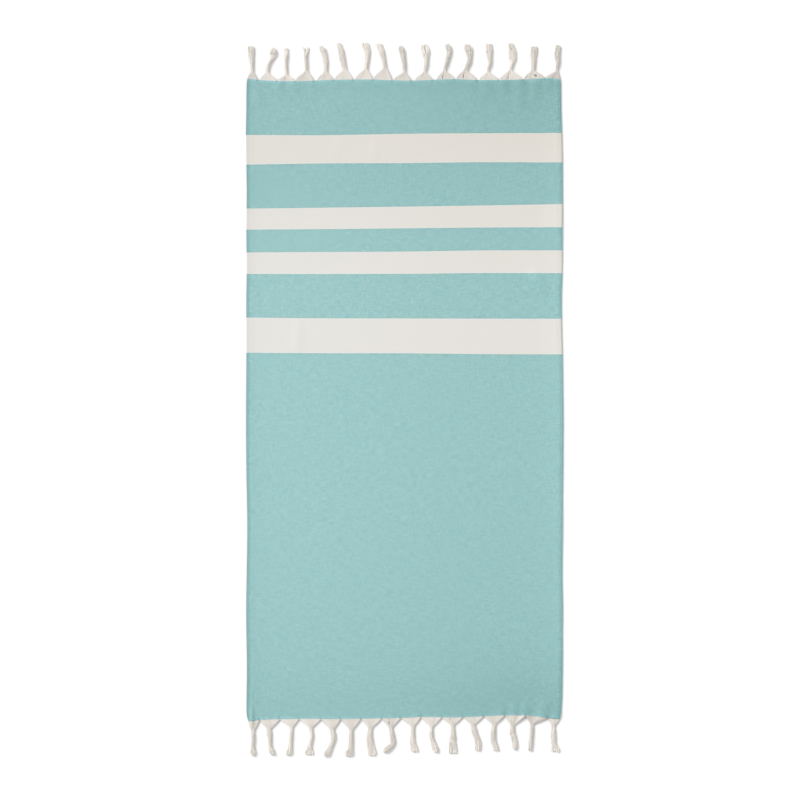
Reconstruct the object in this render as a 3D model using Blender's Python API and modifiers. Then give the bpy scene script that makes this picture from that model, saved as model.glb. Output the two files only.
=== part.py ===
"""Beach towel: 0.70 x 1.41 m of flat-woven cotton, with a fringe of 16 tassels at each end.

The towel lies spread out on its underside. X runs across it, Y along it towards the end with the
woven stripes, and Z up. The origin is on the ground under the middle of the whole towel.
All sizes are in metres and all angles in degrees.
"""
import math
from collections import namedtuple

import bmesh
import bpy

# ------------------------------------------------------------------ driving dimensions
CLOTH_THICKNESS = 0.0015     # one layer of the flat weave
HEM_THICKNESS = 0.0030       # the long sides, turned under and stitched
HEM_WIDTH = 0.012
HEM_STEP = 0.0015            # across which the hem falls to one layer
CLOTH_WIDTH = 0.700          # between the long sides, hems included
STRIP_DEPTH = 0.004          # last picks of the weave, which hold a fringe's roots
PIECE_GAP = 0.0003           # between a fringe's strip and the rest of the cloth
STEM_WIDTH = 0.0085          # a tassel's bundle of yarn, below its knot

GRID_COLUMNS = 62            # even columns between the two hems
STATION_GAP = 0.0015         # least distance between two stations along a strip
SLOPE_STEP = 0.01            # share of a tassel's length over which its slope is read

# Long sides of the cloth: where the left and the right edge lie, from the plain end up.
Side = namedtuple("Side", "y left right")
SIDES = (
    Side(-0.706, -0.3445, 0.3430),
    Side(-0.690, -0.3492, 0.3462),
    Side(-0.655, -0.3498, 0.3488),
    Side(-0.590, -0.3490, 0.3498),
    Side(-0.465, -0.3506, 0.3502),
    Side(-0.385, -0.3496, 0.3496),
    Side(-0.280, -0.3482, 0.3498),
    Side(-0.150, -0.3502, 0.3508),
    Side(-0.040, -0.3510, 0.3512),
    Side(0.090, -0.3502, 0.3500),
    Side(0.215, -0.3504, 0.3476),
    Side(0.290, -0.3495, 0.3498),
    Side(0.385, -0.3502, 0.3497),
    Side(0.465, -0.3494, 0.3504),
    Side(0.580, -0.3512, 0.3490),
    Side(0.640, -0.3503, 0.3468),
    Side(0.695, -0.3497, 0.3464),
    Side(0.712, -0.3480, 0.3455),
)

# Ends of the cloth: where the striped end and the plain end lie, from left to right.
End = namedtuple("End", "x striped plain")
ENDS = (
    End(-0.351, 0.7108, -0.7090),
    End(-0.341, 0.7112, -0.7082),
    End(-0.314, 0.7083, -0.7060),
    End(-0.261, 0.7062, -0.7046),
    End(-0.208, 0.7072, -0.7042),
    End(-0.155, 0.7092, -0.7046),
    End(-0.075, 0.7101, -0.7035),
    End(0.004, 0.7075, -0.7018),
    End(0.045, 0.7086, -0.7000),
    End(0.105, 0.7109, -0.7011),
    End(0.164, 0.7088, -0.6991),
    End(0.217, 0.7092, -0.6967),
    End(0.270, 0.7105, -0.6998),
    End(0.323, 0.7128, -0.7046),
    End(0.351, 0.7086, -0.7058),
)
PLAIN_END = -0.703           # the ends' mean places, between which the rows are spread
STRIPED_END = 0.709

# Rows of the cloth's grid, closer together where the cloth is creased.
Band = namedtuple("Band", "start rows")
BANDS = (
    Band(PLAIN_END, 6),
    Band(-0.645, 8),
    Band(0.080, 9),
    Band(0.300, 3),
    Band(0.510, 5),
    Band(0.600, 1),
    Band(0.650, 6),
    Band(STRIPED_END, 0),
)

# Soft creases that stand up from the ground. `lean` turns a crest's upper end towards +X.
Crease = namedtuple("Crease", "x y length width height lean")
CREASES = (
    # puckers at the striped end, left
    Crease(-0.325, 0.672, 0.060, 0.030, 0.0014, 0),
    Crease(-0.276, 0.708, 0.090, 0.030, 0.0024, 0),
    Crease(-0.240, 0.708, 0.090, 0.032, 0.0020, 8),
    # puckers at the striped end, right
    Crease(0.150, 0.700, 0.080, 0.030, 0.0012, 0),
    Crease(0.178, 0.690, 0.060, 0.030, 0.0014, 0),
    Crease(0.216, 0.708, 0.080, 0.030, 0.0030, -14),
    Crease(0.254, 0.690, 0.130, 0.034, 0.0016, 0),
    Crease(0.292, 0.700, 0.090, 0.032, 0.0020, 6),
    Crease(0.318, 0.705, 0.060, 0.028, 0.0018, 0),
    # across the first and the fourth woven stripe
    Crease(-0.150, 0.553, 0.080, 0.036, 0.0020, 24),
    Crease(-0.066, 0.553, 0.090, 0.040, 0.0024, 30),
    Crease(-0.236, 0.143, 0.110, 0.034, 0.0020, 0),
    # a wrinkle near the right side
    Crease(0.296, 0.262, 0.080, 0.036, 0.0034, -30),
    # puckers at the plain end, right
    Crease(0.214, -0.690, 0.060, 0.028, 0.0018, 0),
    Crease(0.240, -0.696, 0.080, 0.028, 0.0026, 4),
    Crease(0.268, -0.696, 0.080, 0.028, 0.0030, 0),
    Crease(0.305, -0.696, 0.100, 0.036, 0.0030, 12),
)

# Shares of a tassel's length, from its root, at which its sway is given.
NECK_AT = 0.26
MID_AT = 0.50
BEND_AT = 0.75
TIP_AT = 0.95

# Tassels from left to right. `neck`, `mid`, `bend` and `tip` say how far the tassel has swayed
# to the right of its root at the four shares above.
Tassel = namedtuple("Tassel", "x root neck mid bend tip length tip_width")
STRIPED_TASSELS = (
    Tassel(-0.337, 0.025, 0.002, 0.000, -0.001, -0.002, 0.074, 0.015),
    Tassel(-0.301, 0.034, 0.000, 0.003, 0.012, 0.010, 0.073, 0.017),
    Tassel(-0.259, 0.035, -0.001, -0.002, -0.001, -0.001, 0.073, 0.012),
    Tassel(-0.219, 0.037, 0.003, 0.002, 0.002, 0.002, 0.074, 0.016),
    Tassel(-0.173, 0.036, -0.001, -0.001, -0.004, -0.010, 0.076, 0.013),
    Tassel(-0.133, 0.038, 0.002, -0.001, -0.006, -0.009, 0.081, 0.012),
    Tassel(-0.087, 0.038, 0.003, 0.006, 0.006, 0.002, 0.080, 0.016),
    Tassel(-0.047, 0.037, 0.004, 0.002, -0.003, -0.007, 0.081, 0.013),
    Tassel(-0.002, 0.035, 0.003, 0.000, -0.002, -0.005, 0.077, 0.013),
    Tassel(0.044, 0.036, 0.002, 0.004, 0.003, 0.002, 0.080, 0.020),
    Tassel(0.092, 0.040, -0.001, 0.003, 0.009, 0.006, 0.079, 0.013),
    Tassel(0.137, 0.042, 0.002, 0.010, 0.011, 0.004, 0.079, 0.017),
    Tassel(0.186, 0.041, -0.001, 0.004, 0.003, 0.000, 0.081, 0.014),
    Tassel(0.237, 0.044, 0.000, 0.003, 0.006, -0.001, 0.081, 0.013),
    Tassel(0.288, 0.045, -0.003, -0.001, -0.003, -0.001, 0.073, 0.015),
    Tassel(0.329, 0.032, 0.007, 0.010, 0.009, 0.010, 0.074, 0.012),
)
PLAIN_TASSELS = (
    Tassel(-0.331, 0.025, -0.001, -0.002, -0.003, -0.002, 0.082, 0.013),
    Tassel(-0.297, 0.038, 0.003, 0.001, 0.001, 0.005, 0.082, 0.014),
    Tassel(-0.254, 0.038, 0.006, 0.004, 0.003, 0.001, 0.085, 0.013),
    Tassel(-0.208, 0.042, 0.004, 0.004, 0.001, -0.002, 0.082, 0.020),
    Tassel(-0.160, 0.039, 0.002, 0.005, -0.002, -0.009, 0.086, 0.015),
    Tassel(-0.116, 0.039, 0.000, 0.000, -0.002, -0.006, 0.086, 0.018),
    Tassel(-0.072, 0.041, -0.001, -0.004, -0.002, 0.000, 0.086, 0.018),
    Tassel(-0.030, 0.036, 0.001, 0.004, 0.001, -0.006, 0.082, 0.019),
    Tassel(0.015, 0.042, 0.003, 0.004, 0.003, 0.007, 0.081, 0.016),
    Tassel(0.064, 0.041, -0.003, -0.006, -0.001, 0.003, 0.082, 0.016),
    Tassel(0.107, 0.039, 0.001, 0.000, -0.001, 0.000, 0.083, 0.018),
    Tassel(0.153, 0.039, 0.001, 0.005, 0.010, 0.009, 0.078, 0.013),
    Tassel(0.201, 0.038, -0.001, -0.004, -0.002, 0.003, 0.080, 0.013),
    Tassel(0.246, 0.038, -0.006, -0.004, -0.001, 0.001, 0.078, 0.012),
    Tassel(0.294, 0.038, -0.008, -0.010, -0.012, -0.014, 0.078, 0.011),
    Tassel(0.329, 0.027, -0.001, -0.001, 0.000, 0.005, 0.076, 0.020),
)

# Sections along one tassel, from its root to its end. A section's width is a share of the
# root's width, of the stem's and of the tip's, added up.
Section = namedtuple("Section", "along root stem tip height")
SECTIONS = (
    Section(0.10, 0.70, 0.06, 0.00, 0.0030),
    Section(0.19, 0.34, 0.42, 0.00, 0.0048),
    Section(NECK_AT, 0.00, 1.00, 0.00, 0.0062),
    Section(0.38, 0.00, 1.00, 0.00, 0.0072),
    Section(0.52, 0.00, 1.00, 0.00, 0.0072),
    Section(0.66, 0.00, 0.85, 0.15, 0.0072),
    Section(0.78, 0.00, 0.45, 0.55, 0.0072),
    Section(0.89, 0.00, 0.00, 1.00, 0.0072),
    Section(0.96, 0.00, 0.00, 0.95, 0.0066),
    Section(1.00, 0.00, 0.00, 0.60, 0.0044),
)
TASSEL_HEIGHT = max(section.height for section in SECTIONS)

# Base colour (linear RGB) and roughness of each cloth.
SEA_GREEN = ((0.337, 0.571, 0.565, 1.0), 0.95)
UNDYED = ((0.753, 0.723, 0.658, 1.0), 0.95)


# ------------------------------------------------------------------ shape functions
def smooth_value(rows, column, position):
    """A table's column at a position along its first column, smooth through its rows."""
    last = len(rows) - 1
    row = 0
    while row < last - 1 and rows[row + 1][0] < position:
        row += 1
    before = rows[max(row - 1, 0)]
    start = rows[row]
    end = rows[row + 1]
    after = rows[min(row + 2, last)]
    span = end[0] - start[0]
    t = min(max((position - start[0]) / span, 0.0), 1.0)
    start_slope = span * (end[column] - before[column]) / (end[0] - before[0])
    end_slope = span * (after[column] - start[column]) / (after[0] - start[0])
    return (start[column] * (1 - t) ** 2 * (1 + 2 * t) + end[column] * t ** 2 * (3 - 2 * t)
            + start_slope * t * (1 - t) ** 2 - end_slope * t ** 2 * (1 - t))


def side_at(y, side):
    """X of the cloth's left or right edge at a height along the towel."""
    return smooth_value(SIDES, Side._fields.index(side), y)


def end_at(x, end):
    """Y of the cloth's striped or plain end at a place across the towel."""
    return smooth_value(ENDS, End._fields.index(end), x)


def swell(t):
    """A soft rise: 1 in the middle, and level with the ground from -1 and 1 outwards."""
    return (1 - t * t) ** 2 if abs(t) < 1 else 0.0


def crease_height(x, y):
    """How far the cloth's underside stands off the ground."""
    height = 0.0
    for crease in CREASES:
        lean = math.radians(crease.lean)
        dx = x - crease.x
        dy = y - crease.y
        across = dx * math.cos(lean) - dy * math.sin(lean)
        along = dx * math.sin(lean) + dy * math.cos(lean)
        rise = swell(2 * across / crease.width) * swell(2 * along / crease.length)
        height = max(height, crease.height * rise)
    return height


# ------------------------------------------------------------------ scene helpers
def clear_scene():
    for item in list(bpy.data.objects):
        bpy.data.objects.remove(item, do_unlink=True)


def new_collection(name):
    collection = bpy.data.collections.new(name)
    bpy.context.scene.collection.children.link(collection)
    return collection


def cloth_material(name, look):
    color, roughness = look
    material = bpy.data.materials.new(name)
    material.use_nodes = True
    shader = material.node_tree.nodes["Principled BSDF"]
    shader.inputs["Base Color"].default_value = color
    shader.inputs["Roughness"].default_value = roughness
    shader.inputs["Metallic"].default_value = 0.0
    return material


def sheet_object(name, bm, thickness, weights, thinnest, material, collection):
    """A sheet from its underside: Solidify thickens it upwards, more where weights say so.

    The thickness grows from the share `thinnest`, at weight 0, to the whole, at weight 1.
    """
    bmesh.ops.recalc_face_normals(bm, faces=bm.faces)
    if sum(face.normal.z for face in bm.faces) < 0:
        bmesh.ops.reverse_faces(bm, faces=bm.faces)
    mesh = bpy.data.meshes.new(name)
    bm.to_mesh(mesh)
    bm.free()
    mesh.materials.append(material)
    sheet = bpy.data.objects.new(name, mesh)
    collection.objects.link(sheet)
    group = sheet.vertex_groups.new(name="thickness")
    for index, weight in enumerate(weights):
        group.add([index], weight, "REPLACE")
    solidify = sheet.modifiers.new("thickness", "SOLIDIFY")
    solidify.thickness = thickness
    solidify.offset = 1.0
    solidify.vertex_group = group.name
    solidify.thickness_vertex_group = thinnest
    return sheet


# ------------------------------------------------------------------ the woven panel
def grid_columns():
    """Places across the cloth, from 0 to 1, with a step at each hem's inner edge."""
    hem = HEM_WIDTH / CLOTH_WIDTH
    inside = (HEM_WIDTH + HEM_STEP) / CLOTH_WIDTH
    even = [inside + (1 - 2 * inside) * i / GRID_COLUMNS for i in range(GRID_COLUMNS + 1)]
    return [0.0, hem] + even + [1 - hem, 1.0]


def grid_rows():
    """Places along the cloth, from 0 at its plain end to 1 at its striped end."""
    places = []
    for band, following in zip(BANDS, BANDS[1:]):
        step = (following.start - band.start) / band.rows
        places += [band.start + step * i for i in range(band.rows)]
    places.append(BANDS[-1].start)
    return [(place - PLAIN_END) / (STRIPED_END - PLAIN_END) for place in places]


def column_places(y, columns):
    """X of each column of the cloth at a height along the towel."""
    left = side_at(y, "left")
    right = side_at(y, "right")
    return [left + (right - left) * column for column in columns]


def add_towel_cloth(collection):
    columns = grid_columns()
    rows = grid_rows()
    last_column = len(columns) - 1
    last_row = len(rows) - 1
    bm = bmesh.new()
    bmesh.ops.create_grid(bm, x_segments=last_column, y_segments=last_row, size=0.5)
    parted = STRIP_DEPTH + PIECE_GAP
    weights = []
    for vert in bm.verts:
        column = round((vert.co.x + 0.5) * last_column)
        row = round((vert.co.y + 0.5) * last_row)
        nominal_y = PLAIN_END + (STRIPED_END - PLAIN_END) * rows[row]
        x = column_places(nominal_y, columns)[column]
        low = end_at(x, "plain") + parted
        high = end_at(x, "striped") - parted
        y = low + (high - low) * rows[row]
        vert.co = (x, y, crease_height(x, y))
        in_hem = column <= 1 or column >= last_column - 1
        weights.append(1.0 if in_hem else 0.0)
    return sheet_object("towel_cloth", bm, HEM_THICKNESS, weights,
                        CLOTH_THICKNESS / HEM_THICKNESS,
                        cloth_material("sea_green_cotton", SEA_GREEN), collection)


# ------------------------------------------------------------------ the fringes
def tassel_sway(tassel, along):
    """How far a tassel lies to the right of its root, at a share of its length."""
    path = ((0.0, 0.0), (NECK_AT, tassel.neck), (MID_AT, tassel.mid), (BEND_AT, tassel.bend),
            (TIP_AT, tassel.tip), (1.0, tassel.tip))
    return smooth_value(path, 1, along)


def section_corners(tassel, section, root_y, outward):
    """Left and right end of a section's underside, square to the tassel's own direction."""
    sway = tassel_sway(tassel, section.along)
    ahead = tassel_sway(tassel, min(section.along + SLOPE_STEP, 1.0))
    behind = tassel_sway(tassel, section.along - SLOPE_STEP)
    direction = math.atan2(ahead - behind, 2 * SLOPE_STEP * tassel.length)
    half = (section.root * tassel.root + section.stem * STEM_WIDTH
            + section.tip * tassel.tip_width) / 2
    centre_x = tassel.x + sway
    centre_y = root_y + outward * section.along * tassel.length
    dx = half * math.cos(direction)
    dy = -half * math.sin(direction) * outward
    return (centre_x - dx, centre_y - dy, 0.0), (centre_x + dx, centre_y + dy, 0.0)


def root_sides(tassel):
    """Left and right end of a tassel's root."""
    return tassel.x - tassel.root / 2, tassel.x + tassel.root / 2


def strip_stations(y, tassels):
    """Places along a strip: the sides of the roots, and the cloth's columns well clear of them."""
    sides = [side for tassel in tassels for side in root_sides(tassel)]
    clear = [place for place in column_places(y, grid_columns())
             if all(abs(place - side) > STATION_GAP for side in sides)]
    return sorted(sides + clear)


def add_fringe(name, end, outward, tassels, collection):
    """One end's fringe: 16 tassels that rise from a strip of the cloth's last picks."""
    bm = bmesh.new()
    weights = []

    def add_vert(place, height):
        weights.append(height / TASSEL_HEIGHT)
        return bm.verts.new(place)

    def edge_vert(x, depth):
        y = end_at(x, end) - outward * depth
        return add_vert((x, y, crease_height(x, y)), CLOTH_THICKNESS)

    stations = strip_stations(STRIPED_END if outward > 0 else PLAIN_END, tassels)
    inner = [edge_vert(x, STRIP_DEPTH) for x in stations]
    outer = [edge_vert(x, 0.0) for x in stations]
    for i in range(len(stations) - 1):
        bm.faces.new((inner[i], inner[i + 1], outer[i + 1], outer[i]))

    for tassel in tassels:
        left, right = (stations.index(side) for side in root_sides(tassel))
        root = outer[left:right + 1]
        root_y = end_at(tassel.x, end)
        for section in SECTIONS:
            corners = section_corners(tassel, section, root_y, outward)
            new_left, new_right = (add_vert(corner, section.height) for corner in corners)
            bm.faces.new(root + [new_right, new_left])
            root = [new_left, new_right]

    return sheet_object(name, bm, TASSEL_HEIGHT, weights, 0.0,
                        cloth_material(name + "_cotton", UNDYED), collection)


def main():
    clear_scene()
    towel = new_collection("beach_towel")
    add_towel_cloth(towel)
    add_fringe("fringe_top", "striped", 1, STRIPED_TASSELS, towel)
    add_fringe("fringe_bottom", "plain", -1, PLAIN_TASSELS, towel)


main()
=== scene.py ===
# %% [markdown]
# # A beach towel, spread out flat
# This lesson dresses the plain solids of a beach towel: a flat-woven sea green panel with four
# undyed stripes, narrow stitched hems along its sides, and a fringe of twisted tassels at each end.
# The solids say where everything is. They stay as they are, and finer pieces stand in for them.

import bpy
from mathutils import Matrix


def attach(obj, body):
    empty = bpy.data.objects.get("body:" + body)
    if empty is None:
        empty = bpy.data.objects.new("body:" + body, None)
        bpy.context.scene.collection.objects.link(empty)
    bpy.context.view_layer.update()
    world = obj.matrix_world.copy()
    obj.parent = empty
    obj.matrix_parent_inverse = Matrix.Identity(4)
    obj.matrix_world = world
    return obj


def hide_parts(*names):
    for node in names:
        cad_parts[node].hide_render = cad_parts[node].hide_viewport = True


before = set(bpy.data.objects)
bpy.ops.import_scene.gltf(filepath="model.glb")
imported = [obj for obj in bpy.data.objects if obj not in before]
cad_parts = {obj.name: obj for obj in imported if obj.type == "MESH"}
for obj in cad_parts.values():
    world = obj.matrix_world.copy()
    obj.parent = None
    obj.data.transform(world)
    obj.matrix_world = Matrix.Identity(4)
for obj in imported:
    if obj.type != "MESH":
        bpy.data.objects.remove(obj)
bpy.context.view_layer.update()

# %% Modules
import math
import random
from collections import namedtuple

import bmesh
import bpy
from mathutils import Vector, noise

# %% [markdown]
# ## The outline of the cloth
# A real towel is never quite straight: its sides wander by a millimetre or two, and its ends bow
# between the tassels. Two tables in millimetres give the edges where they were measured in the
# photo, and a smooth curve runs through their rows. The solids follow the same outline within
# two millimetres, and within about three near the plain end's right corner.

# %% Edges of the cloth
CLOTH_WIDTH = 0.700
CLOTH_THICKNESS = 0.0015
PLAIN_END = -0.703
STRIPED_END = 0.709


def metres(kind, rows, others=0):
    """Rows in millimetres as named rows in metres. The last few values may be no lengths."""
    cut = len(kind._fields) - others
    return [kind(*(value / 1000 for value in row[:cut]), *row[cut:]) for row in rows]


Side = namedtuple("Side", "y left right")
SIDES = metres(Side, (
    (-706, -344, 341.5),
    (-690, -348.7, 344.7),
    (-655, -349.3, 347.3),
    (-590, -348.5, 348.3),
    (-465, -350.1, 348.7),
    (-385, -349.1, 348.1),
    (-280, -347.7, 348.3),
    (-150, -349.7, 349.3),
    (-40, -350.5, 349.7),
    (90, -349.7, 348.5),
    (215, -349.9, 346.1),
    (290, -349, 348.3),
    (385, -349.7, 348.2),
    (465, -348.9, 348.9),
    (580, -350.7, 347.5),
    (640, -349.8, 345.3),
    (695, -349.2, 344.9),
    (712, -347.5, 344),
))

End = namedtuple("End", "x striped plain")
ENDS = metres(End, (
    (-351, 710.8, -709),
    (-341, 711.2, -708.2),
    (-314, 708.3, -706),
    (-261, 706.2, -704.6),
    (-208, 707.2, -704.2),
    (-155, 709.2, -704.6),
    (-75, 710.1, -703.5),
    (4, 707.5, -701.8),
    (45, 708.6, -700),
    (105, 710.9, -701.1),
    (164, 708.8, -699.1),
    (217, 709.2, -696.7),
    (270, 710.5, -696.8),
    (292, 711.5, -698.8),
    (323, 712.8, -702.4),
    (351, 708.6, -703.8),
))
print(len(SIDES), "places along the sides and", len(ENDS), "across the ends")

# %% A smooth curve through a table
def smooth_value(rows, column, position):
    """A table's column at a position along its first column, smooth through its rows."""
    last = len(rows) - 1
    row = 0
    while row < last - 1 and rows[row + 1][0] < position:
        row += 1
    before = rows[max(row - 1, 0)]
    start = rows[row]
    end = rows[row + 1]
    after = rows[min(row + 2, last)]
    span = end[0] - start[0]
    t = min(max((position - start[0]) / span, 0.0), 1.0)
    start_slope = span * (end[column] - before[column]) / (end[0] - before[0])
    end_slope = span * (after[column] - start[column]) / (after[0] - start[0])
    return (start[column] * (1 - t) ** 2 * (1 + 2 * t) + end[column] * t ** 2 * (3 - 2 * t)
            + start_slope * t * (1 - t) ** 2 - end_slope * t ** 2 * (1 - t))


def side_at(y, side):
    return smooth_value(SIDES, Side._fields.index(side), y)


def end_at(x, end):
    return smooth_value(ENDS, End._fields.index(end), x)


print("the cloth is", round(side_at(0.0, "right") - side_at(0.0, "left"), 4), "m wide and",
      round(end_at(0.0, "striped") - end_at(0.0, "plain"), 4), "m long down its middle")

# %% [markdown]
# ## Creases
# The cloth lies nearly flat, with a few soft puckers near its ends, one wrinkle at its right side,
# and a corner where the hem has rolled up a little. Each row of the table is one low ridge with
# its own place, size and lean in degrees, so they are as uneven as real ones. On top of them the
# whole sheet lifts and falls by a fraction of a millimetre, or it would look like a board.

# %% Crease table and height of the underside
Crease = namedtuple("Crease", "x y length width height lean")
CREASES = metres(Crease, (
    # puckers at the striped end, left
    (-325, 672, 60, 30, 1.4, 0),
    (-276, 708, 90, 30, 2.4, 0),
    (-240, 708, 90, 32, 2, 8),
    # puckers at the striped end, right
    (150, 700, 80, 30, 1.2, 0),
    (178, 690, 60, 30, 1.4, 0),
    (216, 708, 80, 30, 3, -14),
    (254, 690, 130, 34, 1.6, 0),
    (292, 700, 90, 32, 2, 6),
    (318, 705, 60, 28, 1.8, 0),
    # across the first and the fourth woven stripe
    (-150, 553, 80, 36, 0.5, 24),
    (-66, 553, 90, 40, 0.6, 20),
    (-236, 143, 110, 34, 1, 0),
    # the left hem has rolled up a little at the plain end
    (-337.5, -704, 90, 15, 3, 0),
    # a wrinkle near the right side
    (296, 262, 80, 36, 3.4, -30),
    # puckers at the plain end, right
    (214, -690, 60, 28, 1.8, 0),
    (240, -696, 80, 28, 2.6, 4),
    (268, -696, 80, 28, 3, 0),
    (305, -696, 100, 36, 3, 12),
), others=1)
WAVE_HEIGHT = 0.0005
WAVE_LENGTH = 0.055


def swell(t):
    """A soft rise: 1 in the middle, and level from -1 and 1 outwards."""
    return (1 - t * t) ** 2 if abs(t) < 1 else 0.0


def crease_height(x, y):
    height = 0.0
    for crease in CREASES:
        lean = math.radians(crease.lean)
        dx = x - crease.x
        dy = y - crease.y
        across = dx * math.cos(lean) - dy * math.sin(lean)
        along = dx * math.sin(lean) + dy * math.cos(lean)
        rise = swell(2 * across / crease.width) * swell(2 * along / crease.length)
        height = max(height, crease.height * rise)
    return height


def wave_height(x, y):
    """The slight lift and fall of a cloth that has been smoothed out by hand."""
    return WAVE_HEIGHT * (1 + noise.noise(Vector((x, y, 0.0)) / WAVE_LENGTH)) / 2


print(len(CREASES), "creases, the highest", max(c.height for c in CREASES) * 1000, "mm")

# %% [markdown]
# ## The hems
# Each long side is turned under once and stitched, so it is two layers thick. Seen from the end,
# the edge is round where the cloth turns, the seam pulls a shallow groove, and past the seam the
# cloth falls to one layer. The right side has also lifted a little from the floor, which gives
# the towel its soft shadow there.

# %% Section across a hem
HEM_THICKNESS = 0.0020
SEAM_AT = 0.0105  # the seam's distance from the edge
HEM_END = 0.0190  # where the cloth is one layer thick again
SEAM_DEPTH = 0.0002
SEAM_HALF_WIDTH = 0.0014
LIFT_REACH = 0.050  # how far in from the edge a lift can be seen
EDGE_LIFT = {"left": 0.0004, "right": 0.0016}
LIFT_SEED = {"left": 3.0, "right": 11.0}
LIFT_WAVE = 0.110  # a lift rises and falls along the hem
LIFT_UNEVENNESS = 0.8
END_LIFT = 0.0011  # the cords are thicker than the cloth and hold its ends up
END_LIFT_REACH = 0.030


def ease(t):
    """From 0 to 1 without a corner at either end."""
    t = min(max(t, 0.0), 1.0)
    return t * t * (3 - 2 * t)


def roundness(distance, radius):
    """Share of the thickness that is left near a rounded edge."""
    t = min(distance / radius, 1.0)
    return math.sqrt(1 - (1 - t) ** 2)


def full_thickness(side_distance):
    """Thickness of the cloth before its edges are rounded."""
    layers = 1 - ease((side_distance - SEAM_AT) / (HEM_END - SEAM_AT))
    return CLOTH_THICKNESS + (HEM_THICKNESS - CLOTH_THICKNESS) * layers


def edge_lift(y, side, side_distance):
    """How far a hem has lifted from the floor."""
    change = noise.noise(Vector((y / LIFT_WAVE, LIFT_SEED[side], 0.0)))
    return EDGE_LIFT[side] * (1 + LIFT_UNEVENNESS * change) * swell(side_distance / LIFT_REACH)


def end_lift(from_end):
    return END_LIFT * swell(from_end / END_LIFT_REACH)


print("at its seam the hem is", round(full_thickness(SEAM_AT) * 1000, 2), "mm thick")

# %% Heights of the two faces of the cloth
def faces_at(x, y, from_side, side, from_end):
    """Heights of the underside and the top, at a place and its distances from the edges."""
    full = full_thickness(from_side)
    rounded = full * roundness(from_side, HEM_THICKNESS / 2)
    rounded *= roundness(from_end, CLOTH_THICKNESS / 2)
    seam = SEAM_DEPTH * swell((from_side - SEAM_AT) / SEAM_HALF_WIDTH)
    middle = crease_height(x, y) + wave_height(x, y) + full / 2
    middle += edge_lift(y, side, from_side) + end_lift(from_end)
    return middle - rounded / 2, middle + rounded / 2 - seam


print("hem", HEM_THICKNESS * 1000, "mm thick, seam", SEAM_AT * 1000, "mm in")

# %% [markdown]
# ## Following the weft
# The stripes are woven, so their borders run along single weft yarns, and those bend a little as
# the towel lies. The table, measured in the photo, has one row for each of five places across,
# and one column for each border. With it every point of the cloth gets two woven coordinates:
# how far across the loom and how far along the warp it was. They are kept as a UV map in metres,
# and the weave, the stripes and the hems are all painted in it, where they are straight.

# %% Borders of the stripes
WeftPlace = namedtuple("WeftPlace", "x low_4 high_4 low_3 high_3 low_2 high_2 low_1 high_1")
WEFT_PLACES = metres(WeftPlace, (
    (-340, 105.6, 183.4, 279.8, 327.5, 377.8, 424.5, 521.6, 587.2),
    (-170, 104.5, 181.8, 279.6, 328.6, 379, 426.6, 524.3, 586.8),
    (0, 104.2, 181.5, 280, 329.4, 380.7, 428.8, 525, 589.8),
    (170, 102.6, 181.1, 281.8, 331.9, 382.4, 431.3, 526.9, 591.1),
    (340, 102, 180.9, 281.5, 332, 383.1, 434.2, 526.3, 591.5),
))
CLOTH_LENGTH = STRIPED_END - PLAIN_END
BORDERS = [sum(place[i] for place in WEFT_PLACES) / len(WEFT_PLACES) - PLAIN_END
           for i in range(1, len(WeftPlace._fields))]


def woven_at(x, y):
    """How far along the warp a place was woven, from the plain end."""
    lines = [(end_at(x, "plain"), 0.0)]
    for i, border in enumerate(BORDERS, start=1):
        lines.append((smooth_value(WEFT_PLACES, i, x), border))
    lines.append((end_at(x, "striped"), CLOTH_LENGTH))
    return smooth_value(lines, 1, y)


print("stripes woven from", [round(b, 4) for b in BORDERS[::2]],
      "to", [round(b, 4) for b in BORDERS[1::2]])

# %% [markdown]
# ## The tassels
# The cloth's own warp yarns run on past its end. In groups of about four centimetres they gather
# to a neck, in two bunches that are twisted around each other into a cord, and come loose again
# at the cut end. A tassel could be one lumpy tube, but light would show it as one. Each yarn is
# drawn here as its own path, from its place in the cloth, and the paths are made round later.
# The two tables, measured in the photo, say how each tassel lies, nearly as in the solids, and
# how its end has come loose. The cloth's own material looks them up as well, to paint a small
# shadow between two tassels.

# %% Tassel tables
NECK_AT = 0.26  # shares of a tassel's length at which its middle line is given
MID_AT = 0.50
BEND_AT = 0.75
TIP_AT = 0.95
STEM_AT = 0.42  # shares at which its widths are given
BELLY_AT = 0.58
FLARE_AT = 0.80
END_AT = 0.91

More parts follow.
